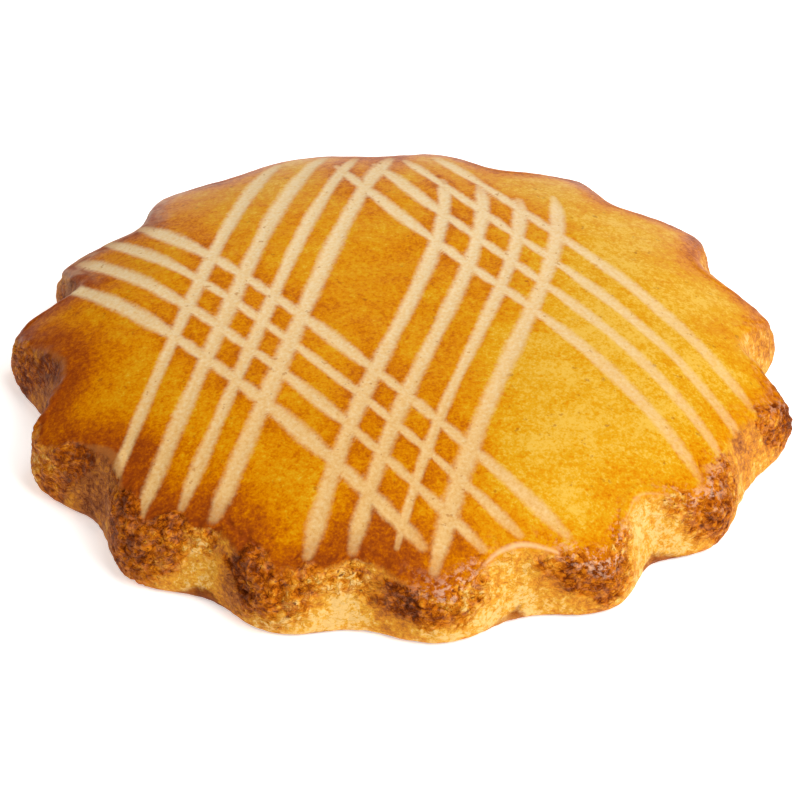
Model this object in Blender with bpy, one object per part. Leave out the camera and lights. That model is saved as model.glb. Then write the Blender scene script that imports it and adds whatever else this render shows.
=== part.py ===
# A fluted butter shortbread, 100 mm across: one solid biscuit, flat underneath and domed on top,
# with four strokes of a four-tined fork scored across the glaze before baking.
# Metres, +Z up, with the origin under the middle of the flat underside.
import bpy
import bmesh
from math import atan2, ceil, cos, floor, hypot, pi, radians, sin
from mathutils import Vector, noise

mm = 0.001

# Plan: the outline at a lobe's tip and in a flute between two lobes
footTipRadius = 50.0 * mm
footFluteRadius = 46.9 * mm
topTipRadius = 49.5 * mm
topFluteRadius = 43.9 * mm
tipSharpness = 0.4              # 0 gives round noses along the top edge, 1 gives pointed ones

# Each lobe of the hand-pressed rim: heading in degrees, how far its tip stands out or falls
# short, and the same for the flute after it, in millimetres, then how far its crust broke up
# into crags, from 0 for smooth to 1
lobes = [
    (11, 0.6, -0.3, 0.5),
    (35.5, 0.4, -0.2, 0.3),
    (58, -2.0, -0.3, 0.25),
    (83.5, -2.4, 0.5, 0.2),
    (107, 1.7, 0.9, 0.2),
    (130, 0.6, -1.0, 0.25),
    (155, -0.1, -0.8, 0.35),
    (172, 1.1, -1.2, 0.7),
    (201, -0.5, -0.5, 1.0),
    (228.5, 0.0, 0.5, 1.0),
    (252, 0.2, 0.5, 1.0),
    (276.5, 0.1, 0.1, 0.9),
    (302, 0.7, -0.4, 0.9),
    (323.5, 0.4, 0.9, 0.8),
    (351, 1.5, -0.8, 0.6),
]

# Section: a flat-topped dome that turns over a tight shoulder into a leaning side
crownHeight = 15.2 * mm
domeDrop = 8.4 * mm             # fall of the dome from its crown to a lobe's tip
shoulderSize = 0.8 * mm
wallBulge = 1.0 * mm
footRound = 1.3 * mm

# Crags of the broken crust round the upper side
cragHeight = 1.2 * mm
cragSize = 3.0 * mm

# Fork strokes: heading in degrees, place of the four tines across it, how far the fork drifts
# off the straight at each of the places driftAt along it, and where each tine starts and ends,
# in millimetres
driftAt = (-40, -20, 0, 20, 40)
strokes = [
    (75.8, (26.8, 21.4, 16.4, 11.7), (0.7, -0.2, 0.0, 0.1, -0.6), (-37, -41, -40.5, -41.5), (36, 39, 37, 38)),
    (75.9, (-1.0, -6.2, -11.4, -16.5), (0.8, 0.7, -0.1, 0.1, 6.1), (-45, -43.5, -42, -43.5), (33, 33, 31, 34)),
    (-50.7, (-10.1, -14.7, -19.5, -24.8), (-0.5, -0.1, 0.0, -0.4, 0.4), (-41, -42.5, -42, -39), (44, 41, 40, 35.5)),
    (-53.6, (28.5, 23.7, 19.1, 14.1), (3.4, -0.2, 0.0, 0.8, 0.5), (-31, -32, -33, -36), (37, 42, 44, 44.5)),
]
grooveRadius = 1.9 * mm
grooveDepth = 0.35 * mm
grooveFade = 5.0 * mm           # length over which a groove runs out at each end
grooveStep = 4.5 * mm
grooveSides = 8


def turnBetween(a, b, c, t):
    # one smooth turn from a to c that heads for b on the way
    return a * (1 - t) ** 2 + b * 2 * t * (1 - t) + c * t ** 2


def outlineAt(angle):
    # foot radius, top edge radius, 0 in a flute to 1 at a lobe's tip, and how craggy the crust is
    degreesRound = angle * 180 / pi % 360
    if degreesRound < lobes[0][0]:
        degreesRound += 360
    behind = max(i for i, lobe in enumerate(lobes) if lobe[0] <= degreesRound)
    heading, reach, dip, crags = lobes[behind]
    nextHeading, nextReach, _, nextCrags = lobes[(behind + 1) % len(lobes)]
    if behind == len(lobes) - 1:
        nextHeading += 360
    along = (degreesRound - heading) / (nextHeading - heading)
    blend = along * along * (3 - 2 * along)
    swell = cos(pi * along) ** 2
    pointed = tipSharpness * (2 * along - 1) ** 2 + (1 - tipSharpness) * swell
    uneven = (reach * (1 - blend) + nextReach * blend + dip * (1 - swell)) * mm
    foot = footFluteRadius + (footTipRadius - footFluteRadius) * swell + uneven
    top = topFluteRadius + (topTipRadius - topFluteRadius) * pointed + uneven
    return foot, top, swell, crags * (1 - blend) + nextCrags * blend


def footprintMiddle():
    # middle of the box round the foot outline, which the origin stands under
    edge = [outlineAt(radians(turn))[0] * Vector((cos(radians(turn)), sin(radians(turn)))) for turn in range(360)]
    xs = [spot.x for spot in edge]
    ys = [spot.y for spot in edge]
    return Vector((min(xs) + max(xs), min(ys) + max(ys), 0)) / 2


def domeHeight(radius):
    return crownHeight - domeDrop * (radius / footTipRadius) ** 4


def domeSlope(radius):
    return -4 * domeDrop * radius ** 3 / footTipRadius ** 4


def sectionPoint(angle, station):
    # radius and height on the section: stations 0 to 1 are the top, to 2 the shoulder,
    # to 3 the side, to 4 the turn at the foot, and to 5 the underside
    foot, top, _, _ = outlineAt(angle)
    shoulderStart = top - 1.6 * shoulderSize
    shoulderEnd = Vector((top + (foot - top) * 0.35, domeHeight(top) - 1.6 * shoulderSize))
    footTop = Vector((foot, footRound))
    footEnd = Vector((foot - 1.2 * footRound, 0))
    piece = min(floor(station), 4)
    t = station - piece
    if piece == 0:
        return Vector((shoulderStart * t, domeHeight(shoulderStart * t)))
    if piece == 1:
        start = Vector((shoulderStart, domeHeight(shoulderStart)))
        corner = Vector((top + 0.1 * shoulderSize, domeHeight(top) + 0.25 * shoulderSize))
        return turnBetween(start, corner, shoulderEnd, t)
    if piece == 2:
        belly = Vector((0.35 * foot + 0.65 * shoulderEnd.x + wallBulge, 0.5 * (shoulderEnd.y + footRound)))
        return turnBetween(shoulderEnd, belly, footTop, t)
    if piece == 3:
        return turnBetween(footTop, Vector((foot - 0.2 * footRound, 0)), footEnd, t)
    return footEnd * (1 - t)


def cragAt(place, station, swell, crags):
    # rough crust from the shoulder to halfway down the side, strongest on the lobes
    band = max(0.0, 1 - abs(station - 1.9) / 0.95)
    rough = noise.noise(place / cragSize) + 0.5 * noise.noise(place / cragSize * 2.1)
    return cragHeight * band * crags * (0.35 + 0.65 * swell) * rough


def biscuitPoint(angle, station):
    radius, height = sectionPoint(angle, station)
    outward = Vector((cos(angle), sin(angle), 0))
    place = outward * radius + Vector((0, 0, height))
    _, _, swell, crags = outlineAt(angle)
    return place + (outward + Vector((0, 0, 0.4))) * cragAt(place, station, swell, crags)


def growRings(bm, ringStations, sides):
    # a fan, then rings extruded from its rim, as a flat disc whose radius is the station
    bmesh.ops.create_circle(bm, cap_ends=True, cap_tris=True, segments=sides, radius=ringStations[0][0])
    for station, doubled in ringStations[1:]:
        rim = [edge for edge in bm.edges if edge.is_boundary]
        if doubled:
            bmesh.ops.subdivide_edges(bm, edges=rim, cuts=1)
            rim = [edge for edge in bm.edges if edge.is_boundary]
        grown = bmesh.ops.extrude_edge_only(bm, edges=rim)
        for item in grown["geom"]:
            if isinstance(item, bmesh.types.BMVert):
                item.co = item.co.normalized() * station
    lastRim = [edge for edge in bm.edges if edge.is_boundary]
    bmesh.ops.contextual_create(bm, geom=lastRim)


def makeMaterial(name, colour, roughness):
    material = bpy.data.materials.new(name)
    material.use_nodes = True
    shader = material.node_tree.nodes["Principled BSDF"]
    shader.inputs["Base Color"].default_value = (*colour, 1)
    shader.inputs["Roughness"].default_value = roughness
    shader.inputs["Metallic"].default_value = 0
    return material


def addObject(name, bm, collection):
    mesh = bpy.data.meshes.new(name)
    bmesh.ops.translate(bm, verts=bm.verts, vec=-footprintMiddle())
    bmesh.ops.recalc_face_normals(bm, faces=bm.faces)
    bm.to_mesh(mesh)
    bm.free()
    thing = bpy.data.objects.new(name, mesh)
    collection.objects.link(thing)
    return thing


def makeBiscuit(collection):
    bm = bmesh.new()
    ringStations = [
        (0.13, False), (0.26, False),
        (0.39, True), (0.52, False), (0.65, False),
        (0.78, True), (0.89, False), (1.0, False),
        (1.35, False), (1.7, False), (2.0, False),
        (2.2, False), (2.45, False), (2.7, False), (3.0, False),
        (3.5, False), (4.0, False), (4.5, False),
    ]
    growRings(bm, ringStations, 3 * len(lobes))
    for vert in bm.verts:
        flat = vert.co.copy()
        vert.co = biscuitPoint(atan2(flat.y, flat.x), hypot(flat.x, flat.y))
    biscuit = addObject("shortbread", bm, collection)
    biscuit.data.materials.append(makeMaterial("baked shortbread", (0.72, 0.29, 0.03), 0.45))
    biscuit.data.shade_smooth()
    return biscuit


def driftOf(knots, u):
    # the smooth curve through the knots, in millimetres at u millimetres along the stroke
    total = 0
    for i, here in enumerate(driftAt):
        share = 1
        for j, there in enumerate(driftAt):
            if j != i:
                share = share * (u - there) / (here - there)
        total += knots[i] * share
    return total


def tinePath(stroke, tine):
    # points of one tine's groove and how deep it is there, 0 to 1
    heading, places, drift, starts, ends = stroke
    along = Vector((cos(radians(heading)), sin(radians(heading))))
    across = Vector((-along.y, along.x))
    start = starts[tine] * mm
    end = ends[tine] * mm
    steps = ceil((end - start) / grooveStep)
    path = []
    for i in range(steps + 1):
        u = start + (end - start) * i / steps
        w = (places[tine] + driftOf(drift, u / mm)) * mm
        depth = min(1.0, min(u - start, end - u) / grooveFade)
        path.append((along * u + across * w, depth))
    return path, across


def addTine(bm, stroke, tine):
    path, across = tinePath(stroke, tine)
    sideways = across.to_3d()
    ringVerts = bmesh.ops.create_circle(bm, cap_ends=True, segments=grooveSides, radius=grooveRadius)["verts"]
    turns = [atan2(vert.co.y, vert.co.x) + pi / grooveSides for vert in ringVerts]
    for i, (spot, depth) in enumerate(path):
        if i > 0:
            edges = [e for e in bm.edges if e.verts[0] in ringVerts and e.verts[1] in ringVerts]
            copies = bmesh.ops.extrude_edge_only(bm, edges=edges)["geom"]
            newVerts = [item for item in copies if isinstance(item, bmesh.types.BMVert)]
            ringVerts = [min(newVerts, key=lambda v: (v.co - old.co).length) for old in ringVerts]
        radius = spot.length
        outward = spot.to_3d() / radius
        normal = (Vector((0, 0, 1)) - outward * domeSlope(radius)).normalized()
        ground = spot.to_3d() + Vector((0, 0, domeHeight(radius)))
        centre = ground + normal * (grooveRadius * cos(pi / grooveSides) - grooveDepth * (1.3 * depth - 0.3))
        for vert, turn in zip(ringVerts, turns):
            vert.co = centre + (sideways * cos(turn) + normal * sin(turn)) * grooveRadius
    edges = [e for e in bm.edges if e.verts[0] in ringVerts and e.verts[1] in ringVerts]
    bmesh.ops.contextual_create(bm, geom=edges)


def makeForkCutter(number, stroke, collection):
    bm = bmesh.new()
    for tine in range(4):
        addTine(bm, stroke, tine)
    cutter = addObject(f"fork_stroke_{number}", bm, collection)
    cutter.data.materials.append(makeMaterial(f"fork groove {number}", (0.85, 0.68, 0.38), 0.7))
    cutter.hide_render = True
    cutter.display_type = "WIRE"
    return cutter


def scoreWith(biscuit, cutter):
    cut = biscuit.modifiers.new(cutter.name, "BOOLEAN")
    cut.operation = "DIFFERENCE"
    cut.solver = "EXACT"
    cut.object = cutter


for oldObject in list(bpy.data.objects):
    bpy.data.objects.remove(oldObject, do_unlink=True)
biscuitCollection = bpy.data.collections.new("shortbread biscuit")
cutterCollection = bpy.data.collections.new("cutters")
bpy.context.scene.collection.children.link(biscuitCollection)
bpy.context.scene.collection.children.link(cutterCollection)

biscuit = makeBiscuit(biscuitCollection)
for number, stroke in enumerate(strokes, 1):
    scoreWith(biscuit, makeForkCutter(number, stroke, cutterCollection))
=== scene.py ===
# Looks of a fluted butter shortbread: golden egg wash over a domed top, four fork strokes that
# bare the pale dough, and a craggy browned side. Metres, +Z up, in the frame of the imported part.
import bpy
import bmesh
import numpy as np
from math import cos, pi, radians, sin
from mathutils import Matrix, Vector, noise


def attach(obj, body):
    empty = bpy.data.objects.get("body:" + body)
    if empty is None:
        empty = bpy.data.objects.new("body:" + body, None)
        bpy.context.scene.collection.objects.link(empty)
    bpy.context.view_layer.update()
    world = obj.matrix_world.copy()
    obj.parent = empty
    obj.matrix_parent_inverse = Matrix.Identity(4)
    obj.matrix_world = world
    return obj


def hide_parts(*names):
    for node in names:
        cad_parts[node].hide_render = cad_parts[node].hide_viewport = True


mm = 0.001

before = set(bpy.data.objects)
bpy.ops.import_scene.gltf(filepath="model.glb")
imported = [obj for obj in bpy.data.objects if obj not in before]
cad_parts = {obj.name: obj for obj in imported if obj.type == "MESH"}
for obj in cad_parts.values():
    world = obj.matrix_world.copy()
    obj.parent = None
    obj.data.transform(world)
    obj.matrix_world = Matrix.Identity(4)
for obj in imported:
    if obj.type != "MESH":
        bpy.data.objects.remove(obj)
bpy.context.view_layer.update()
print("frame loaded:", sorted(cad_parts))

# The hand-pressed form, in millimetres. A lobe is its heading in degrees, how far its tip stands
# out or falls short, the same for the flute after it, how badly its crust broke up, how far that
# goes on into the flute before it and the flute after it, and the lip of wash over the flute.
biscuit = {
    "footTipRadius": 50.0,
    "footFluteRadius": 46.9,
    "topTipRadius": 49.5,
    "topFluteRadius": 43.9,
    "tipSharpness": 0.4,        # 0 gives round noses along the top edge, 1 gives pointed ones
    "lobes": [
        (11, 0.6, -0.3, 0.3, 0.0, 0.0, 0.3), (35.5, 0.4, -0.2, 0.3, 0.0, 0.0, 0.3),
        (58, -2.0, -0.3, 0.25, 0.0, 0.0, 0.3), (83.5, -2.4, 0.5, 0.2, 0.0, 0.0, 0.3),
        (107, 1.7, 0.9, 0.2, 0.0, 0.0, 0.3), (130, 0.6, -1.0, 0.25, 0.0, 0.0, 0.4),
        (155, -0.1, -0.8, 0.35, 0.0, 0.0, 0.4), (172, 1.1, -1.2, 0.7, -0.1, 0.4, 0.7),
        (201, -0.5, -0.5, 1.0, 0.6, 0.2, 1.0), (228.5, 0.0, 0.5, 1.0, 0.1, 0.45, 0.1),
        (252, 0.2, 0.5, 1.0, 0.5, 0.9, 0.1), (276.5, 0.1, 0.1, 0.9, 1.0, -0.1, 1.0),
        (302, 0.7, -0.4, 0.9, 0.5, -0.1, 0.6), (323.5, 0.4, 0.9, 0.8, 0.1, 0.2, 0.3),
        (351, 1.5, -0.8, 0.6, 0.0, 0.0, 0.3),
    ],
    "crownHeight": 15.2,
    "domeDrop": 8.4,            # fall of the dome from its crown to a lobe's tip
    "shoulderSize": 0.8,
    "wallBulge": 1.0,
    "footRound": 1.3,
    "shoulderRun": 2.2,         # how long the shoulder is along the section, then the side and foot
    "wallRun": 5.2,
    "footRun": 2.3,
    "cragHeight": 1.2,          # broad crags of the broken crust
    "cragSize": 3.0,
    "crustStart": 1.5,          # how far below the top edge the crust of a nose is broken
    "fluteCrustStart": 1.8,     # and that of a flute
    "brokenHigh": (238, 28),    # heading where it broke on the top already, and how far round
    "brokenHigher": 3.6,        # how much higher it broke there
    "brokenHigherRight": 1.5,   # and on the noses towards +X
    # how brown the wash bakes, 0 to 1, and how much paler or browner it is in places
    "washBake": 0.385,
    "palerRight": 0.18,
    "brownerRim": 0.57,         # towards -X and -Y
    "brownerBackRim": 0.42,
    "brownerNoses": 0.3,        # towards +X
    "brownerCrossings": 0.24,   # in the small diamonds where two strokes cross
    "crossingReach": 3.4,       # how far from a line that goes
    "brownest": (0.7, 0.2),     # at most the first, plus this share of how brown it would be
    # places round the rim, as heading, how far round, and how much darker or (below 0) paler: baking on
    # the wash, and on the side partly baking and partly painted shade and painted light
    "sideBakeAndShade": [(219, 4, -0.3), (231, 6, 0.06), (240, 4.5, -0.4), (246, 2.5, 0.12), (257, 4, 0.04),
                    (264, 4.5, -0.24), (271, 4, 0.18), (282, 3, 0.1), (298, 5, 0.03), (314, 8, -0.15),
                    (337, 3, 0.26), (353, 8, 0.07), (8, 7, -0.14)],
    "washBrowned": [(208, 8, -0.14), (227, 12, 0.18), (267, 6, 0.2), (15, 25, -0.05), (140, 20, 0.18)],
    "lumpHeight": 0.3,          # lumps that sit on the crags
    "lumpSize": 1.25,
    "pitDepth": 0.22,           # hollows where a lump broke away
    "pitSize": 1.5,
    "crackDepth": 0.32,         # cracks, which run along the rim
    "crackSpacing": (2.8, 1.6), # along the rim and down the side
    "rimRadius": 48,            # on which the spacing along the rim is measured
    "lipHeight": 0.14,          # edge of the egg wash over a flute
    "lipPlace": 1.2,            # how far below the top edge it lies
    "topWaves": ((0.16, 9.0), (0.05, 2.2)),     # height and size of the unevenness of the top
    "wallLumps": ((0.14, 2.4), (0.11, 1.1)),    # and of the side where its crust is whole
    "wallStreaks": 0.08,
    "trayPits": (0.10, 1.6),                    # and of the underside
    "sheenStreakTurns": (112, 130, 158, 166),          # where the painted sheen streaks begin, are full, still are, end
}

# Fork strokes, in millimetres: heading in degrees, place of the four tines across it, how far the
# fork drifts off the straight at -40, -20, 0, 20 and 40 along it, where each tine starts and ends,
# and the half width of the dough that each tine bares at its start and at its end
fork = {
    "driftAt": (-40, -20, 0, 20, 40),
    "strokes": [
        (75.8, (26.8, 21.4, 16.4, 11.7), (0.7, -0.2, 0.0, 0.1, -0.6),
         (-38.5, -41.5, -40.5, -41.5), (37.5, 41, 39, 40), (0.75, 1.0, 0.85, 1.15), (1.05, 1.1, 0.9, 1.05)),
        (75.9, (-1.0, -6.2, -11.4, -16.5), (0.8, 0.7, -0.1, 0.1, 6.1),
         (-45, -43.5, -42, -43.5), (33, 33, 31, 34), (1.05, 1.0, 0.6, 1.15), (0.95, 0.95, 0.95, 0.95)),
        (-50.7, (-10.1, -14.7, -19.5, -24.8), (-0.5, -0.1, 0.0, -0.4, 0.4),
         (-41, -42.5, -42, -39), (44, 41, 40, 35.5), (1.15, 0.95, 1.1, 1.1), (1.0, 0.8, 0.9, 1.3)),
        (-53.6, (28.5, 23.7, 19.1, 14.1), (3.4, -0.2, 0.0, 0.8, 0.5),
         (-31, -32, -33, -36), (37, 42, 44, 44.5), (1.05, 1.0, 1.1, 1.05), (0.92, 0.75, 0.75, 0.92)),
    ],
    "depth": 0.11,
    "taper": 3.6,               # length over which a line narrows and fades at its end
    "crossedWidth": 0.62,       # share of its width a line keeps where the later stroke crosses it
    "crossedReach": 3.0,        # how far from the later stroke that goes
}


def smoothStep(low, high, value):
    t = np.clip((value - low) / (high - low), 0, 1)
    return t * t * (3 - 2 * t)


def turnBetween(a, b, c, t):
    # one smooth turn from a to c that heads for b on the way
    return a * (1 - t) ** 2 + b * 2 * t * (1 - t) + c * t ** 2


def outlineAt(angles):
    # foot radius, top edge radius, 0 in a flute to 1 at a lobe's tip, how broken the crust is, how
    # far that goes on between two lobes, and how strong the lip is
    headings, reaches, dips, breaks, before, after, lips = np.array(biscuit["lobes"], float).T
    turns = np.degrees(angles) % 360
    turns = np.where(turns < headings[0], turns + 360, turns)
    behind = np.searchsorted(headings, turns, side="right") - 1
    following = np.append(headings[1:], headings[0] + 360)
    along = (turns - headings[behind]) / (following[behind] - headings[behind])
    blend = along * along * (3 - 2 * along)
    swell = np.cos(pi * along) ** 2
    sharp = biscuit["tipSharpness"]
    pointed = sharp * (2 * along - 1) ** 2 + (1 - sharp) * swell
    uneven = reaches[behind] * (1 - blend) + np.roll(reaches, -1)[behind] * blend + dips[behind] * (1 - swell)
    foot = biscuit["footFluteRadius"] * (1 - swell) + biscuit["footTipRadius"] * swell + uneven
    top = biscuit["topFluteRadius"] * (1 - pointed) + biscuit["topTipRadius"] * pointed + uneven
    broken = breaks[behind] * (1 - blend) + np.roll(breaks, -1)[behind] * blend
    between = after[behind] * (1 - blend) + np.roll(before, -1)[behind] * blend
    return foot, top, swell, broken, between, lips[behind]


def footprintMiddle():
    # middle of the box round the foot outline, which the origin stands under
    turns = np.radians(np.arange(360))
    foot = outlineAt(turns)[0]
    xs, ys = foot * np.cos(turns), foot * np.sin(turns)
    return np.array([(xs.min() + xs.max()) / 2, (ys.min() + ys.max()) / 2, 0])


def domeHeight(radius):
    return biscuit["crownHeight"] - biscuit["domeDrop"] * (radius / biscuit["footTipRadius"]) ** 4


def sectionAt(angles, stations):
    # radius and height on the section: stations 0 to 1 are the top, to 2 the shoulder, to 3 the
    # side, to 4 the turn at the foot, and to 5 the underside
    foot, top = outlineAt(angles)[:2]
    shoulder, turn = biscuit["shoulderSize"], biscuit["footRound"]
    edgeRadius = top - 1.6 * shoulder
    wallRadius, wallHeight = top + (foot - top) * 0.35, domeHeight(top) - 1.6 * shoulder
    bellyRadius = 0.35 * foot + 0.65 * wallRadius + biscuit["wallBulge"]
    bellyHeight = 0.5 * (wallHeight + turn)
    stretch = np.minimum(np.floor(stations), 4)
    t = stations - stretch
    radius = np.select([stretch == 0, stretch == 1, stretch == 2, stretch == 3], [
        edgeRadius * t,
        turnBetween(edgeRadius, top + 0.1 * shoulder, wallRadius, t),
        turnBetween(wallRadius, bellyRadius, foot, t),
        turnBetween(foot, foot - 0.2 * turn, foot - 1.2 * turn, t),
    ], (foot - 1.2 * turn) * (1 - t))
    height = np.select([stretch == 0, stretch == 1, stretch == 2, stretch == 3], [
        domeHeight(edgeRadius * t),
        turnBetween(domeHeight(edgeRadius), domeHeight(top) + 0.25 * shoulder, wallHeight, t),
        turnBetween(wallHeight, bellyHeight, turn, t),
        turnBetween(turn, 0, 0, t),
    ], 0 * t)
    return radius, height


def noiseAt(points, size, shift=0.0):
    offset = Vector((shift, shift, shift))
    return np.array([noise.noise(Vector(point) / size + offset) for point in points])


def crumbsAt(points, size):
    # 1 on the middle of a crumb, 0 in the crease between two
    nearest = np.array([noise.voronoi(Vector(point) / size)[0][:2] for point in points])
    return 1 - (1 - np.clip(1.6 * (nearest[:, 1] - nearest[:, 0]), 0, 1)) ** 2


def scoresAt(x, y):
    # for each pair of strokes: distance to the nearest tine in half widths, 0 on a line's middle
    # and 1 at its edge, the same in millimetres, and how far the line has faded at its end
    values = []
    for pair in (fork["strokes"][:2], fork["strokes"][2:]):
        nearest, reach, faded = np.full(len(x), 9.0), np.full(len(x), 20.0), np.zeros(len(x))
        for heading, tines, drift, starts, ends, startWidths, endWidths in pair:
            along = x * cos(radians(heading)) + y * sin(radians(heading))
            across = y * cos(radians(heading)) - x * sin(radians(heading))
            across = across - np.polyval(np.polyfit(fork["driftAt"], drift, 4), along)
            for place, start, end, startWidth, endWidth in zip(tines, starts, ends, startWidths, endWidths):
                width = startWidth + (endWidth - startWidth) * smoothStep(start, end, along)
                width = width * (1 + 0.07 * np.sin(along / 4.1 + place) + 0.05 * np.sin(along / 1.7 - place))
                toEnd = np.minimum(along - start, end - along)
                fade = 1 - smoothStep(-0.5, fork["taper"], toEnd)
                away = np.hypot(np.abs(across - place), 0.9 * np.maximum(0, -toEnd))
                score = away / (width * (1 - 0.3 * fade)) + 0.12 * fade
                faded = np.where(score < nearest, fade, faded)
                nearest = np.minimum(nearest, score)
                reach = np.minimum(reach, away)
        values.append((nearest, reach, faded))
    (slash, slashReach, slashFade), (back, backReach, backFade) = values
    crossed = np.exp(-(slashReach / fork["crossedReach"]) ** 2)
    back = back / (1 - (1 - fork["crossedWidth"]) * crossed)
    fade = np.where(slash < back, slashFade, backFade)
    return np.minimum(slash, back), fade, slashReach, backReach


def growRings(bm, ringStations, sides):
    # a fan, then rings extruded from its rim, as a flat disc whose radius is the station
    bmesh.ops.create_circle(bm, cap_ends=True, cap_tris=True, segments=sides, radius=ringStations[0][0])
    rim = [edge for edge in bm.edges if edge.is_boundary]
    for station, doubled in ringStations[1:]:
        if doubled:
            bmesh.ops.subdivide_edges(bm, edges=rim, cuts=1)
            rim = [edge for edge in bm.edges if edge.is_boundary]
        grown = bmesh.ops.extrude_edge_only(bm, edges=rim)["geom"]
        for item in grown:
            if isinstance(item, bmesh.types.BMVert):
                item.co = item.co.normalized() * station
        rim = [item for item in grown if isinstance(item, bmesh.types.BMEdge) and item.is_boundary]
    bmesh.ops.contextual_create(bm, geom=rim)


def planRings():
    # station of each ring and whether the ring before it is doubled, so that the faces stay
    # between about a quarter and half a millimetre all over the top and side
    top = [*np.arange(0.01, 0.9, 0.0105), *np.arange(0.9, 1.0, 0.0075)]
    shoulder, wall, footTurn = np.linspace(1, 2, 8), np.linspace(2, 3, 19)[1:], np.linspace(3, 4, 7)[1:]
    underside = [4.03, 4.07, 4.13, 4.22, 4.35, 4.5, 4.65, 4.8, 4.92]
    stations = [*top, *shoulder, *wall, *footTurn, *underside]
    doublings = [0.03, 0.06, 0.12, 0.22, 0.42, 0.84]
    rings = []
    for station in stations:
        doubled = bool(doublings) and station > doublings[0]
        if doubled:
            doublings.pop(0)
        rings.append((float(station), doubled))
    return rings


def darkeningRound(name, angles):
    # how much darker, or below 0 paler, it is at each heading: baked on the wash, and on the side partly
    # baked and partly painted shade and painted light
    turns = np.degrees(angles)
    return sum(amount * np.exp(-(((turns - heading + 180) % 360 - 180) / width) ** 2)
               for heading, width, amount in biscuit[name])


def bakeAndSheenAt(points, fromEdge, swell, slashReach, backReach):
    # how brown the egg wash bakes, 0 to 1, with some painted sheen: paler towards +X and over the back
    # half, partly as painted sheen, browner near the rim towards -X and -Y and at the back, where two
    # strokes cross, and on the noses towards +X
    x, y = points[:, 0], points[:, 1]
    places = points * mm
    drifting = 4 * noiseAt(places, 12 * mm, 4.2)
    pale = smoothStep(3, 21, x + drifting) * (1 - 0.6 * smoothStep(-9, 0, fromEdge))
    # the back half is painted paler, partly standing for the sheen it catches
    pale = pale * (1.4 - 0.6 * smoothStep(5, 30, y)) + 0.75 * smoothStep(8, 42, y)
    rim = smoothStep(-11, 0.5, fromEdge) ** 1.5 * (0.06 + 0.94 * smoothStep(5, 48, -0.8 * x - 0.6 * y))
    tips = smoothStep(-5, 1.5, fromEdge) * swell ** 2 * smoothStep(5, 30, x)
    reach = biscuit["crossingReach"]
    crowding = np.exp(-(slashReach / reach) ** 2) * np.exp(-(backReach / reach) ** 2)
    crowding = crowding * (1 + 0.7 * smoothStep(10, 30, y))
    cloud = 0.11 * noiseAt(places, 5.5 * mm, 21.0) + 0.12 * noiseAt(places, 2.3 * mm, 13.0)
    patches = darkeningRound("washBrowned", np.arctan2(y, x)) * smoothStep(-15, -1, fromEdge)
    backRim = smoothStep(-3.5, 1, fromEdge) * smoothStep(0, 25, y)
    bakeAndSheen = biscuit["washBake"] + cloud - biscuit["palerRight"] * pale + patches
    bakeAndSheen = bakeAndSheen + biscuit["brownerRim"] * rim + biscuit["brownerBackRim"] * backRim
    bakeAndSheen = bakeAndSheen + biscuit["brownerNoses"] * tips + biscuit["brownerCrossings"] * crowding
    most, share = biscuit["brownest"]
    return np.minimum(bakeAndSheen, most + share * bakeAndSheen)


def toneAndShadeAt(points, normals, fromEdge, swell, streak):
    # colour of the side, 0 dark brown to 1 yellow, with painted light and shade in it: flanks turned
    # to +X are painted palest as lit, those turned to -X and the flutes beside them brownest as shaded
    across = normals[:, 0] / np.maximum(np.hypot(normals[:, 0], normals[:, 1]), 0.001)
    toneAndShade = 0.7 + across * (1 - 0.7 * swell ** 2) * np.where(across < 0, 0.62, 0.46)
    toneAndShade = np.minimum(toneAndShade, 0.76 + 0.1 * toneAndShade) - 0.26 * swell * smoothStep(5, 35, points[:, 0])
    toneAndShade += 0.2 * smoothStep(38, 46, -points[:, 0])
    toneAndShade -= 0.12 * smoothStep(32, 44, points[:, 0])
    low = smoothStep(4.5, 6.5, fromEdge) * smoothStep(-32, -14, points[:, 0])
    toneAndShade += 0.2 * low * (1 - 0.6 * smoothStep(8, 25, points[:, 0]))
    # patches darker or paler round the side, partly painted shade and painted light
    patches = darkeningRound("sideBakeAndShade", np.arctan2(points[:, 1], points[:, 0]))
    toneAndShade -= np.where(patches > 0, patches * (1 - 0.7 * smoothStep(3.5, 6.5, fromEdge)), patches)
    toneAndShade = np.minimum(toneAndShade, 0.52 + 0.42 * toneAndShade)
    return toneAndShade + 0.16 * noiseAt(points * mm, 2.4 * mm, 17.0) + 0.06 * streak


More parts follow.
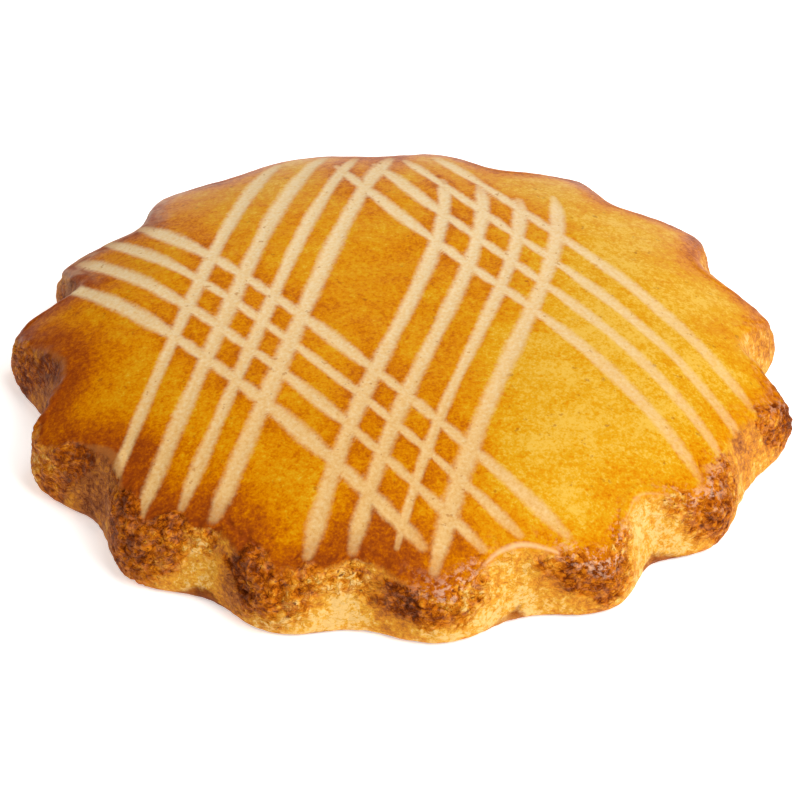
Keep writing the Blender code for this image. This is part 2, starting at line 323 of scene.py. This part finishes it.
def addRelief(points, normals, angles, stations):
    # crags, lumps and cracks round the upper side, scored lines, and the waves of the top; gives
    # back the moved points and what the material reads there
    _, top, swell, breaks, between, lipAt = outlineAt(angles)
    places = points * mm
    outward = np.stack([np.cos(angles), np.sin(angles), np.full(len(angles), 0.4)], 1)
    band = np.maximum(0, 1 - np.abs(stations - 1.9) / 0.95)
    rough = noiseAt(places, biscuit["cragSize"] * mm) + 0.5 * noiseAt(places * 2.1, biscuit["cragSize"] * mm)
    broad = biscuit["cragHeight"] * band * breaks * (0.35 + 0.65 * swell) * rough
    # millimetres from the top edge along the section: below 0 on the top, above 0 down the side
    shoulderRun, wallRun, footRun = biscuit["shoulderRun"], biscuit["wallRun"], biscuit["footRun"]
    fromEdge = np.select([stations < 1, stations < 2, stations < 3, stations < 4], [
        (stations - 1) * (top - 1.3), (stations - 1) * shoulderRun,
        shoulderRun + (stations - 2) * wallRun, shoulderRun + wallRun + (stations - 3) * footRun,
    ], shoulderRun + wallRun + footRun + (stations - 4) * 40)
    # where the crust is broken, from start to stop down the side: on the noses, and on into some
    # of the flutes
    patch = noiseAt(places, 4.5 * mm, 7.3) + 0.5 * noiseAt(places, 1.7 * mm, 3.3)
    heading, width = biscuit["brokenHigh"]
    higher = np.exp(-(((np.degrees(angles) - heading + 180) % 360 - 180) / width) ** 2)
    higher = biscuit["brokenHigher"] * higher + biscuit["brokenHigherRight"] * smoothStep(5, 25, points[:, 0])
    inFlute = biscuit["fluteCrustStart"]
    start = inFlute + (biscuit["crustStart"] - inFlute - higher) * smoothStep(0.1, 0.9, swell) - 1.4 * patch
    stop = 3.2 + 2.6 * swell + 2.0 * smoothStep(36, 46, -points[:, 0]) + 1.8 * noiseAt(places, 3.2 * mm, 3.1)
    stop += (2.6 * smoothStep(5, 30, -points[:, 0]) + 1.2 * smoothStep(20, 35, points[:, 0])) * swell
    craggy = smoothStep(start - 0.5, start + 0.9, fromEdge)
    craggy = craggy * (1 - smoothStep(stop - 1.2, stop + 1.6, fromEdge))
    reached = smoothStep(0.2, 0.75, swell + 0.8 * between + 0.4 * patch + 0.05 * higher)
    craggy = craggy * reached * smoothStep(0.15, 0.6, breaks)
    # lumps, a little wider than high, and the pits between them
    near = craggy > 0.01
    squat = places * np.array([1, 1, 1.25])
    squat = squat + 0.5 * mm * noiseAt(places, 0.9 * mm, 31.0)[:, None]
    lump = np.full(len(points), 0.6)
    lump[near] = crumbsAt(squat[near], biscuit["lumpSize"] * mm)
    pit = craggy * smoothStep(0.25, 0.5, noiseAt(places, biscuit["pitSize"] * mm, 51.0))
    # a crack runs where this noise passes 0
    along, down = biscuit["crackSpacing"]
    rimPlace = np.stack([angles * biscuit["rimRadius"] / along, fromEdge / down, 0 * angles], 1)
    wander = noiseAt(rimPlace, 1.0, 11.7) + 0.3 * noiseAt(places, 0.9 * mm, 1.7)
    crack = (1 - smoothStep(0.01, 0.10, np.abs(wander))) * reached
    crack = crack * smoothStep(-0.15, 0.15, noiseAt(places, 3.0 * mm, 41.0)) * smoothStep(0.15, 0.6, breaks)
    crack = crack * smoothStep(start - 2.4, start - 0.4, fromEdge)
    crack = crack * (1 - smoothStep(stop - 1.5, stop, fromEdge))
    fine = noiseAt(places, 0.7 * mm, 5.5)
    lift = biscuit["lumpHeight"] * (lump - 0.55) + 0.12 * fine + 0.28 * noiseAt(places, 2.0 * mm, 9.9)
    lift = craggy * lift
    lift -= biscuit["crackDepth"] * crack + biscuit["pitDepth"] * pit
    lift *= 0.45 + 0.55 * smoothStep(-44, -34, points[:, 0])
    # scored lines, and the waves of the top
    score, fade, slashReach, backReach = scoresAt(points[:, 0], points[:, 1])
    onTop = 1 - smoothStep(0.985, 1.1, stations)
    lift -= onTop * fork["depth"] * (1 - smoothStep(0.2, 1.4, score)) * (1 - 0.6 * fade)
    (waveHeight, waveSize), (rippleHeight, rippleSize) = biscuit["topWaves"]
    wavy = waveHeight * noiseAt(places, waveSize * mm, 2.2)
    wavy = wavy + rippleHeight * noiseAt(places, rippleSize * mm, 8.8)
    lift += onTop * wavy
    # lip of the wash over the flutes, broader towards -X; the material paints a highlight on it, and a grey
    # sheen towards -X
    lipWidth = 0.33 + 0.25 * smoothStep(10, 30, -points[:, 0])
    lip = np.exp(-((fromEdge - biscuit["lipPlace"]) / lipWidth) ** 2) * (1 - swell) ** 0.6 * lipAt
    lift += biscuit["lipHeight"] * lip
    # pale streaks of painted sheen along the back-left rim
    turns = np.degrees(angles) % 360
    sheenFrom, sheenFull, sheenStill, sheenEnd = biscuit["sheenStreakTurns"]
    sheenStreaks = smoothStep(sheenFrom, sheenFull, turns) * (1 - smoothStep(sheenStill, sheenEnd, turns))
    sheenStreaks = sheenStreaks * smoothStep(-4.0, -0.5, fromEdge)
    sheenStreaks = sheenStreaks * (1 - smoothStep(4, 7, fromEdge)) * (0.6 + 0.4 * swell)
    streaky = np.stack([angles * 22, fromEdge / 1.3 + 0.8 * noiseAt(places, 3.5 * mm, 81.0), 0 * angles], 1)
    sheenStreaks = sheenStreaks * smoothStep(-0.35, 0.5, noiseAt(streaky, 1.0, 71.0) + 0.5 * noiseAt(places, 0.9 * mm, 73.0))
    # side where its crust is whole, and underside
    streak = noiseAt(np.stack([angles * 46, stations * 0.8, 0 * stations], 1), 1.1, 4.4)
    wall = smoothStep(1.6, 2.1, stations) * (1 - smoothStep(3.2, 3.8, stations))
    (broadHeight, broadSize), (smallHeight, smallSize) = biscuit["wallLumps"]
    lumpy = broadHeight * noiseAt(places, broadSize * mm, 23.0)
    lumpy = lumpy + smallHeight * noiseAt(places, smallSize * mm, 29.0)
    lift += wall * (1 - craggy) * (biscuit["wallStreaks"] * streak + lumpy)
    trayDepth, traySize = biscuit["trayPits"]
    lift += smoothStep(4.0, 4.1, stations) * (trayDepth * np.abs(noiseAt(places, traySize * mm, 6.1)))
    moved = points + outward * broad[:, None] + normals * lift[:, None]
    # the wash runs thinly over the lines towards +X, and the noses there get painted glints
    washedOver = 0.5 * smoothStep(8, 35, points[:, 0]) + 0.55 * smoothStep(29, 43, points[:, 0])
    tip = smoothStep(-1.9, 0.3, fromEdge) * (1 - smoothStep(1.2, 3.0, fromEdge)) * swell ** 1.6 * breaks
    tip = tip * smoothStep(-1, 9, points[:, 0]) * (1 - 0.5 * smoothStep(34, 44, points[:, 0]))
    # the dark band at the foot reaches further up in some flutes
    foot = fromEdge + 2.0 * (1 - swell) ** 2 * smoothStep(-0.2, 0.2, noiseAt(places, 7 * mm, 61.0))
    # what the material reads at each point
    sheets = {
        "score": np.clip(score, 0, 4), "lineEnd": fade + washedOver,
        "paler": smoothStep(-48, 25, points[:, 1]),
        "bakeAndSheen": bakeAndSheenAt(points, fromEdge, swell, slashReach, backReach),
        "toneAndShade": toneAndShadeAt(points, normals, fromEdge, swell, streak),
        "fromEdge": fromEdge, "lip": lip, "craggy": craggy, "tip": tip, "foot": foot,
        # how far the lip's painted highlight gives way to painted grey sheen, towards -X
        "lump": lump, "crack": np.maximum(crack, 0.6 * pit), "foldSheenShare": smoothStep(5, 25, -points[:, 0]),
        "sheenStreaks": sheenStreaks,
    }
    return moved, sheets


def makeBiscuit():
    bm = bmesh.new()
    growRings(bm, planRings(), len(biscuit["lobes"]))
    bm.verts.ensure_lookup_table()
    flat = np.array([vert.co for vert in bm.verts])
    angles, stations = np.arctan2(flat[:, 1], flat[:, 0]), np.hypot(flat[:, 0], flat[:, 1])
    radius, height = sectionAt(angles, stations)
    points = np.stack([radius * np.cos(angles), radius * np.sin(angles), height], 1)
    for vert, point in zip(bm.verts, points * mm):
        vert.co = point
    bmesh.ops.recalc_face_normals(bm, faces=bm.faces)
    bm.normal_update()
    normals = np.array([vert.normal for vert in bm.verts])
    moved, sheets = addRelief(points, normals, angles, stations)
    moved[:, 2] = np.maximum(moved[:, 2], 0)
    for vert, point in zip(bm.verts, (moved - footprintMiddle()) * mm):
        vert.co = point
    mesh = bpy.data.meshes.new("goldenShortbread")
    bm.to_mesh(mesh)
    bm.free()
    for name, values in sheets.items():
        mesh.attributes.new(name, "FLOAT", "POINT").data.foreach_set("value", values.astype(np.float32))
    mesh.shade_smooth()
    piece = bpy.data.objects.new("goldenShortbread", mesh)
    bpy.context.scene.collection.objects.link(piece)
    print("biscuit modelled:", sum(len(face.vertices) - 2 for face in mesh.polygons), "triangles")
    return piece


def linearColour(hexCode):
    # an sRGB hex code as the linear colour that a shader wants
    parts = [int(hexCode[i:i + 2], 16) / 255 for i in (0, 2, 4)]
    return (*[c / 12.92 if c <= 0.04045 else ((c + 0.055) / 1.055) ** 2.4 for c in parts], 1)


def addNode(tree, kind, inputs=None, stops=None, output=0, **settings):
    # one node with its settings, its values and links by socket and its colour stops; gives back
    # the socket that it puts out
    node = tree.nodes.new(kind)
    for name, value in settings.items():
        setattr(node, name, value)
    for socket, value in (inputs or {}).items():
        if isinstance(value, bpy.types.NodeSocket):
            tree.links.new(value, node.inputs[socket])
        else:
            node.inputs[socket].default_value = value
    for i, (place, code) in enumerate(stops or []):
        stop = node.color_ramp.elements[i] if i < 2 else node.color_ramp.elements.new(place)
        stop.position = place
        stop.color = linearColour(code)
    return node.outputs[output]


crust = {
    # size in mm, detail and roughness of each pattern
    "grains": {
        "mottle": (0.75, 4, 0.65),      # brown clouding of the wash
        "fleck": (0.3, 2, 0.5),         # darker flecks in it
        "speck": (1.2, 3, 0.6),         # a few burnt specks
        "dough": (0.5, 3, 0.6),         # bare dough
        "bran": (0.9, 2, 0.5),          # brown grains in the bare dough
        "ragged": (0.6, 3, 0.6),        # edge of a scored line
        "crumb": (1.1, 3, 0.6),         # small lumps of the broken crust
        "patch": (1.7, 3, 0.6),         # browner and paler patches of it
        "pore": (0.9, 2, 0.5),          # dark pores in it
        "glint": (1.05, 4, 0.65),       # painted glints on it, pale specks that stand for highlights
        "side": (1.0, 4, 0.6),          # smooth lower side
        "tray": (1.4, 4, 0.65),         # underside, browned by the tray
        "border": (1.0, 3, 0.6),        # where one of these meets another
        "scorch": (16, 3, 0.55),        # browner and paler parts of the underside
    },
    "flattened": ("crumb", "patch", "pore", "glint"),   # these lie along the rim
    "glazeStops": [(0.0, "daaf44"), (0.2, "d19a13"), (0.42, "cc8000"), (0.6, "bc6800"),
                   (0.8, "a04c08"), (1.0, "86390c")],
    "speckColour": "8a3d10",
    "doughStops": [(0.2, "ca954a"), (0.4, "dab476"), (0.6, "e0ca9e"), (0.85, "e6d6ba")],
    "branColour": "a9733a",
    "paintedGlintColour": "e4bc9e",
    "poreColour": "6e2a08",
    "crumbStops": [(0.0, "642806"), (0.22, "823a08"), (0.45, "b25c0c"), (0.68, "cf7c18"), (0.88, "dea038"),
                   (1.0, "e8bc70")],
    "sideStops": [(0.0, "6e3618"), (0.3, "a4602c"), (0.6, "cf8428"), (0.82, "dba236"), (1.0, "e6be74")],
    "trayStops": [(0.25, "6d3010"), (0.52, "a05a1e"), (0.85, "cc9448")],
    # painted highlight on the lip over the flutes, and painted grey sheen on it towards -X
    "lipHighlightColour": "efd0a4",
    "foldSheenColour": "b0743c",
    "sheenStreakColour": "c8a47c",     # pale streaks of painted sheen at the back-left rim
    "sheenStreakStrength": 0.5,
    "creaseSize": 1.1,          # mm between the folds of the side
    "beadSize": 0.95,           # mm from one crumb of the broken crust to the next
    "beadShift": (0.9, -0.9, 0.7),  # how far they are pushed out of step, in mm
    "glazeRoughness": 0.33,
    "crumbRoughness": 0.52,
    "ior": 1.42,
    "specular": 0.14,
    "sheenColour": "eca014",    # the yolk tints its own gloss
    # heights in mm that the bump stands for, and how strongly it shows
    "mottleHeight": 0.05,
    "fleckHeight": 0.02,
    "crumbHeight": 0.34,
    "sideHeight": 0.2,
    "bumpStrength": 0.75,
}


def bakedShortbreadMaterial():
    # butter shortbread brushed with egg yolk and baked: the wash gives a satin gold that browns in
    # clouds and at the rim, the scored dough under it is pale and matt, and the broken crust at
    # the side is dark in its cracks and golden on its lumps, partly as painted shade and painted light
    material = bpy.data.materials.new("egg-washed baked shortbread")
    material.use_nodes = True
    tree = material.node_tree
    shader = tree.nodes["Principled BSDF"]
    place = addNode(tree, "ShaderNodeTexCoord", output="Object")
    sheet = {}
    for name in ("score", "lineEnd", "paler", "bakeAndSheen", "toneAndShade", "fromEdge", "foot", "lip", "foldSheenShare", "sheenStreaks",
                 "tip", "craggy", "lump", "crack"):
        sheet[name] = addNode(tree, "ShaderNodeAttribute", output="Fac", attribute_name=name)
    flat = addNode(tree, "ShaderNodeVectorMath", {0: place, 1: (1, 1, 1.4)}, operation="MULTIPLY")
    grain = {}
    for seed, (name, (size, detail, roughness)) in enumerate(crust["grains"].items()):
        grain[name] = addNode(tree, "ShaderNodeTexNoise", {
            "Vector": flat if name in crust["flattened"] else place, "W": 1.7 * seed,
            "Scale": 1 / (size * mm), "Detail": detail, "Roughness": roughness,
        }, noise_dimensions="4D")

    # egg wash
    brown = addNode(tree, "ShaderNodeMath", {0: grain["mottle"], 1: 0.95, 2: -0.80}, operation="MULTIPLY_ADD")
    brown = addNode(tree, "ShaderNodeMath", {0: grain["fleck"], 1: 0.64, 2: brown}, operation="MULTIPLY_ADD")
    brown = addNode(tree, "ShaderNodeMath", {0: brown, 1: sheet["bakeAndSheen"]}, operation="ADD")
    # cracks and pits painted darker, partly as shade in them
    brown = addNode(tree, "ShaderNodeMath", {0: sheet["crack"], 1: 0.35, 2: brown}, operation="MULTIPLY_ADD")
    glaze = addNode(tree, "ShaderNodeValToRGB", {0: brown}, stops=crust["glazeStops"])
    speck = addNode(tree, "ShaderNodeMapRange", {0: grain["speck"], 1: 0.63, 2: 0.72, 4: 0.5},
                    interpolation_type="SMOOTHSTEP")
    glaze = addNode(tree, "ShaderNodeMix", {0: speck, 6: glaze, 7: linearColour(crust["speckColour"])},
                    output=2, data_type="RGBA")

    # bare dough in the scored lines, thinly washed again at their ends
    dough = addNode(tree, "ShaderNodeMath", {0: sheet["paler"], 1: 0.22, 2: 0.06}, operation="MULTIPLY_ADD")
    dough = addNode(tree, "ShaderNodeMath", {0: grain["dough"], 1: 0.6, 2: dough}, operation="MULTIPLY_ADD")
    dough = addNode(tree, "ShaderNodeValToRGB", {0: dough}, stops=crust["doughStops"])
    bran = addNode(tree, "ShaderNodeMapRange", {0: grain["bran"], 1: 0.66, 2: 0.72, 4: 0.6},
                   interpolation_type="SMOOTHSTEP")
    dough = addNode(tree, "ShaderNodeMix", {0: bran, 6: dough, 7: linearColour(crust["branColour"])},
                    output=2, data_type="RGBA")
    score = addNode(tree, "ShaderNodeMath", {0: grain["ragged"], 1: 0.8, 2: -0.4}, operation="MULTIPLY_ADD")
    score = addNode(tree, "ShaderNodeMath", {0: score, 1: sheet["score"]}, operation="ADD")
    bare = addNode(tree, "ShaderNodeMapRange", {0: score, 1: 0.45, 2: 1.45, 3: 1.0, 4: 0.0},
                   interpolation_type="SMOOTHSTEP")
    covered = addNode(tree, "ShaderNodeMath", {0: sheet["lineEnd"], 1: -0.4, 2: 0.97},
                      operation="MULTIPLY_ADD")
    bare = addNode(tree, "ShaderNodeMath", {0: bare, 1: covered}, operation="MULTIPLY")
    top = addNode(tree, "ShaderNodeMix", {0: bare, 6: glaze, 7: dough}, output=2, data_type="RGBA")

    # folds that lie along the rim, painted darker as shade on the side and in the broken crust
    crease = addNode(tree, "ShaderNodeTexNoise", {
        "Vector": flat, "Scale": 1 / (crust["creaseSize"] * mm), "Detail": 3, "Roughness": 0.6,
        "Distortion": 0.6,
    })
    crease = addNode(tree, "ShaderNodeMath", {0: crease, 1: 0.5}, operation="SUBTRACT")
    crease = addNode(tree, "ShaderNodeMath", {0: crease}, operation="ABSOLUTE")
    crease = addNode(tree, "ShaderNodeMapRange", {0: crease, 1: 0.0, 2: 0.07},
                     interpolation_type="SMOOTHSTEP")

    # smooth lower side, browned by the tray at the foot and underneath
    toneAndShade = addNode(tree, "ShaderNodeMath", {0: grain["side"], 1: 1.4, 2: -1.09}, operation="MULTIPLY_ADD")
    toneAndShade = addNode(tree, "ShaderNodeMath", {0: grain["fleck"], 1: 0.5, 2: toneAndShade}, operation="MULTIPLY_ADD")
    toneAndShade = addNode(tree, "ShaderNodeMath", {0: crease, 1: 0.16, 2: toneAndShade}, operation="MULTIPLY_ADD")
    # the side's tone carries painted light and shade: darker on flanks turned to -X, paler to +X
    toneAndShade = addNode(tree, "ShaderNodeMath", {0: toneAndShade, 1: sheet["toneAndShade"]}, operation="ADD")
    side = addNode(tree, "ShaderNodeValToRGB", {0: toneAndShade}, stops=crust["sideStops"])
    tray = addNode(tree, "ShaderNodeMath", {0: grain["scorch"], 1: 1.3, 2: -0.65}, operation="MULTIPLY_ADD")
    tray = addNode(tree, "ShaderNodeMath", {0: grain["tray"], 1: tray}, operation="ADD")
    tray = addNode(tree, "ShaderNodeValToRGB", {0: tray}, stops=crust["trayStops"])
    border = addNode(tree, "ShaderNodeMath", {0: grain["border"], 1: 1.6, 2: -0.8}, operation="MULTIPLY_ADD")
    border = addNode(tree, "ShaderNodeMath", {0: border, 1: sheet["fromEdge"]}, operation="ADD")
    low = addNode(tree, "ShaderNodeMath", {0: grain["border"], 1: 1.6, 2: sheet["foot"]},
                  operation="MULTIPLY_ADD")
    low = addNode(tree, "ShaderNodeMapRange", {0: low, 1: 9.0, 2: 9.9}, interpolation_type="SMOOTHSTEP")
    side = addNode(tree, "ShaderNodeMix", {0: low, 6: side, 7: tray}, output=2, data_type="RGBA")

    # painted highlight on the lip where the wash ends over a flute, painted grey sheen on it towards -X, and
    # streaks of painted sheen at the back
    offTop = addNode(tree, "ShaderNodeMapRange", {0: border, 1: 1.1, 2: 2.1}, interpolation_type="SMOOTHSTEP")
    colour = addNode(tree, "ShaderNodeMix", {0: offTop, 6: top, 7: side}, output=2, data_type="RGBA")
    lip = addNode(tree, "ShaderNodeMapRange", {0: sheet["lip"], 1: 0.25, 2: 0.95, 4: 0.55},
                  interpolation_type="SMOOTHSTEP")
    lipHighlight = addNode(tree, "ShaderNodeMix", {0: sheet["foldSheenShare"], 6: linearColour(crust["lipHighlightColour"]),
                                           7: linearColour(crust["foldSheenColour"])}, output=2, data_type="RGBA")
    colour = addNode(tree, "ShaderNodeMix", {0: lip, 6: colour, 7: lipHighlight}, output=2, data_type="RGBA")
    sheenStreaks = addNode(tree, "ShaderNodeMath", {0: sheet["sheenStreaks"], 1: crust["sheenStreakStrength"]}, operation="MULTIPLY")
    colour = addNode(tree, "ShaderNodeMix", {0: sheenStreaks, 6: colour, 7: linearColour(crust["sheenStreakColour"])},
                     output=2, data_type="RGBA")

    # broken crust: golden lumps with the same folds dark between them; the lumps' middles are painted
    # lighter and their edges, the folds, cracks and pits darker, partly as painted light and shade
    shade = addNode(tree, "ShaderNodeMath", {0: grain["crumb"], 1: 1.0, 2: -1.06}, operation="MULTIPLY_ADD")
    shade = addNode(tree, "ShaderNodeMath", {0: grain["patch"], 1: 0.42, 2: shade}, operation="MULTIPLY_ADD")
    shade = addNode(tree, "ShaderNodeMath", {0: sheet["lump"], 1: 0.15, 2: shade}, operation="MULTIPLY_ADD")
    # crumbs on flanks turned to -X get the same painted shade
    shade = addNode(tree, "ShaderNodeMath", {0: sheet["toneAndShade"], 1: 1.15, 2: shade}, operation="MULTIPLY_ADD")
    shade = addNode(tree, "ShaderNodeMath", {0: sheet["crack"], 1: -0.3, 2: shade}, operation="MULTIPLY_ADD")
    shade = addNode(tree, "ShaderNodeMath", {0: crease, 1: 0.2, 2: shade}, operation="MULTIPLY_ADD")
    shaken = addNode(tree, "ShaderNodeVectorMath", {
        0: [shift * mm for shift in crust["beadShift"]], 1: grain["ragged"], 2: flat,
    }, operation="MULTIPLY_ADD")
    bead = addNode(tree, "ShaderNodeTexVoronoi", {"Vector": shaken, "Scale": 1 / (crust["beadSize"] * mm)},
                   feature="F1")
    # the lumps' edges painted darker and their middles lighter, as painted shading of round lumps
    shade = addNode(tree, "ShaderNodeMath", {0: bead, 1: -0.42, 2: shade}, operation="MULTIPLY_ADD")
    shade = addNode(tree, "ShaderNodeMath", {0: shade, 1: 0.2}, operation="ADD")
    crumbs = addNode(tree, "ShaderNodeValToRGB", {0: shade}, stops=crust["crumbStops"])
    broken = addNode(tree, "ShaderNodeMath", {0: grain["border"], 1: 1.2, 2: -0.6}, operation="MULTIPLY_ADD")
    broken = addNode(tree, "ShaderNodeMath", {0: broken, 1: sheet["craggy"]}, operation="ADD")
    broken = addNode(tree, "ShaderNodeMapRange", {0: broken, 1: 0.15, 2: 0.75},
                     interpolation_type="SMOOTHSTEP")
    colour = addNode(tree, "ShaderNodeMix", {0: broken, 6: colour, 7: crumbs}, output=2, data_type="RGBA")

    # pores burnt dark in it, partly painted shade, and painted glints on the noses: pale specks that
    # stand for highlights
    rugged = addNode(tree, "ShaderNodeMath", {0: broken, 1: sheet["tip"]}, operation="MAXIMUM")
    pore = addNode(tree, "ShaderNodeMapRange", {0: grain["pore"], 1: 0.62, 2: 0.68, 4: 0.75},
                   interpolation_type="SMOOTHSTEP")
    pore = addNode(tree, "ShaderNodeMath", {0: pore, 1: rugged}, operation="MULTIPLY")
    colour = addNode(tree, "ShaderNodeMix", {0: pore, 6: colour, 7: linearColour(crust["poreColour"])},
                     output=2, data_type="RGBA")
    glint = addNode(tree, "ShaderNodeMapRange", {0: grain["glint"], 1: 0.48, 2: 0.60, 4: 0.8},
                    interpolation_type="SMOOTHSTEP")
    rugged = addNode(tree, "ShaderNodeMath", {0: broken, 1: 0.1, 2: sheet["tip"]}, operation="MULTIPLY_ADD")
    glint = addNode(tree, "ShaderNodeMath", {0: glint, 1: rugged}, operation="MULTIPLY", use_clamp=True)
    colour = addNode(tree, "ShaderNodeMix", {0: glint, 6: colour, 7: linearColour(crust["paintedGlintColour"])},
                     output=2, data_type="RGBA")
    tree.links.new(colour, shader.inputs["Base Color"])
    shader.inputs["Specular Tint"].default_value = linearColour(crust["sheenColour"])

    # satin wash, and matt dough and crust
    matt = addNode(tree, "ShaderNodeMath", {0: bare, 1: offTop}, operation="MAXIMUM")
    matt = addNode(tree, "ShaderNodeMath", {0: matt, 1: broken}, operation="MAXIMUM")
    rough = addNode(tree, "ShaderNodeMapRange", {
        0: matt, 3: crust["glazeRoughness"], 4: crust["crumbRoughness"],
    })
    rough = addNode(tree, "ShaderNodeMath", {0: grain["mottle"], 1: 0.15, 2: rough}, operation="MULTIPLY_ADD")
    tree.links.new(rough, shader.inputs["Roughness"])
    shader.inputs["IOR"].default_value = crust["ior"]
    shader.inputs["Specular IOR Level"].default_value = crust["specular"]

    # grain of the wash, and crumbs, folds and pores of the side and the broken crust
    height = addNode(tree, "ShaderNodeMath", {0: grain["mottle"], 1: crust["mottleHeight"] * mm},
                     operation="MULTIPLY")
    height = addNode(tree, "ShaderNodeMath", {0: grain["fleck"], 1: crust["fleckHeight"] * mm, 2: height},
                     operation="MULTIPLY_ADD")
    grit = addNode(tree, "ShaderNodeMath", {0: crease, 1: 0.35, 2: grain["crumb"]}, operation="MULTIPLY_ADD")
    grit = addNode(tree, "ShaderNodeMath", {0: pore, 1: -0.5, 2: grit}, operation="MULTIPLY_ADD")
    grit = addNode(tree, "ShaderNodeMath", {0: bead, 1: -0.7, 2: grit}, operation="MULTIPLY_ADD")
    tall = addNode(tree, "ShaderNodeMath", {0: sheet["craggy"], 1: crust["crumbHeight"] * mm},
                   operation="MULTIPLY")
    tall = addNode(tree, "ShaderNodeMath", {0: offTop, 1: crust["sideHeight"] * mm, 2: tall},
                   operation="MULTIPLY_ADD")
    height = addNode(tree, "ShaderNodeMath", {0: grit, 1: tall, 2: height}, operation="MULTIPLY_ADD")
    bump = addNode(tree, "ShaderNodeBump", {
        "Height": height, "Distance": 1.0, "Strength": crust["bumpStrength"],
    })
    tree.links.new(bump, shader.inputs["Normal"])
    return material


piece = makeBiscuit()
piece.data.materials.append(bakedShortbreadMaterial())
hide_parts("shortbread")
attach(piece, "root")
print("material made")

studio = {
    "floorSize": 4.0,
    "floorGap": 0.02,           # mm under the biscuit, so that no two faces lie in one plane
    "floorColour": "fbfbfa",
    "floorRoughness": 0.95,
    "floorGlow": 0.5,           # the paper lies on a lit table
    # light from round about, from the floor's horizon up to straight above
    "skyStops": [(0.0, "ffe4c8"), (0.2, "e0b080"), (1.0, "c89460")],
    "skyStrength": 0.2,
    # turn from the camera round to its right and rise in degrees, distance and side in metres, and watts
    "softboxes": [
        ("key", 52, 42, 0.9, 0.5, 7.05),
        ("overhead", 120, 70, 0.8, 0.5, 2.9),
        ("backPanel", 172, 7, 1.2, 0.9, 2.0),
        ("fill", -60, 55, 1.0, 0.8, 1.9),
    ],
    # rise in degrees, distance and aim in millimetres
    "cameraRise": 36.45,
    "cameraDistance": 600.0,
    "cameraAim": (0.31, 0.07, 0.9),
    "lens": 206.2,
}


def addSoftbox(name, turn, rise, distance, side, power):
    lamp = bpy.data.lights.new(name, "AREA")
    lamp.shape = "SQUARE"
    lamp.size = side
    lamp.energy = power
    box = bpy.data.objects.new(name, lamp)
    level = cos(radians(rise))
    toward = Vector((sin(radians(turn)) * level, -cos(radians(turn)) * level, sin(radians(rise))))
    box.location = toward * distance
    box.rotation_euler = toward.to_track_quat("Z", "Y").to_euler()
    bpy.context.scene.collection.objects.link(box)


def addFloor():
    bm = bmesh.new()
    bmesh.ops.create_grid(bm, x_segments=1, y_segments=1, size=studio["floorSize"] / 2)
    bmesh.ops.translate(bm, verts=bm.verts, vec=(0, 0, -studio["floorGap"] * mm))
    mesh = bpy.data.meshes.new("studioFloor")
    bm.to_mesh(mesh)
    bm.free()
    floor = bpy.data.objects.new("studioFloor", mesh)
    bpy.context.scene.collection.objects.link(floor)
    paper = bpy.data.materials.new("matt white studio paper")
    paper.use_nodes = True
    shader = paper.node_tree.nodes["Principled BSDF"]
    shader.inputs["Base Color"].default_value = linearColour(studio["floorColour"])
    shader.inputs["Roughness"].default_value = studio["floorRoughness"]
    shader.inputs["Specular IOR Level"].default_value = 0.0
    shader.inputs["Emission Color"].default_value = linearColour(studio["floorColour"])
    shader.inputs["Emission Strength"].default_value = studio["floorGlow"]
    mesh.materials.append(paper)


def addStudio():
    addFloor()
    for softbox in studio["softboxes"]:
        addSoftbox(*softbox)
    world = bpy.data.worlds.new("studio")
    world.use_nodes = True
    sky = world.node_tree
    direction = addNode(sky, "ShaderNodeTexCoord", output="Generated")
    rise = addNode(sky, "ShaderNodeSeparateXYZ", {0: direction}, output="Z")
    colour = addNode(sky, "ShaderNodeValToRGB", {0: rise}, stops=studio["skyStops"])
    sky.links.new(colour, sky.nodes["Background"].inputs["Color"])
    sky.nodes["Background"].inputs["Strength"].default_value = studio["skyStrength"]
    bpy.context.scene.world = world
    view = bpy.data.cameras.new("camera")
    view.lens = studio["lens"]
    camera = bpy.data.objects.new("camera", view)
    cameraRise = radians(studio["cameraRise"])
    back = Vector((0, -cos(cameraRise), sin(cameraRise)))
    camera.location = (Vector(studio["cameraAim"]) + back * studio["cameraDistance"]) * mm
    camera.rotation_euler = back.to_track_quat("Z", "Y").to_euler()
    bpy.context.scene.collection.objects.link(camera)
    bpy.context.scene.camera = camera
    bpy.context.scene.view_settings.view_transform = "Standard"


addStudio()
print("studio ready")
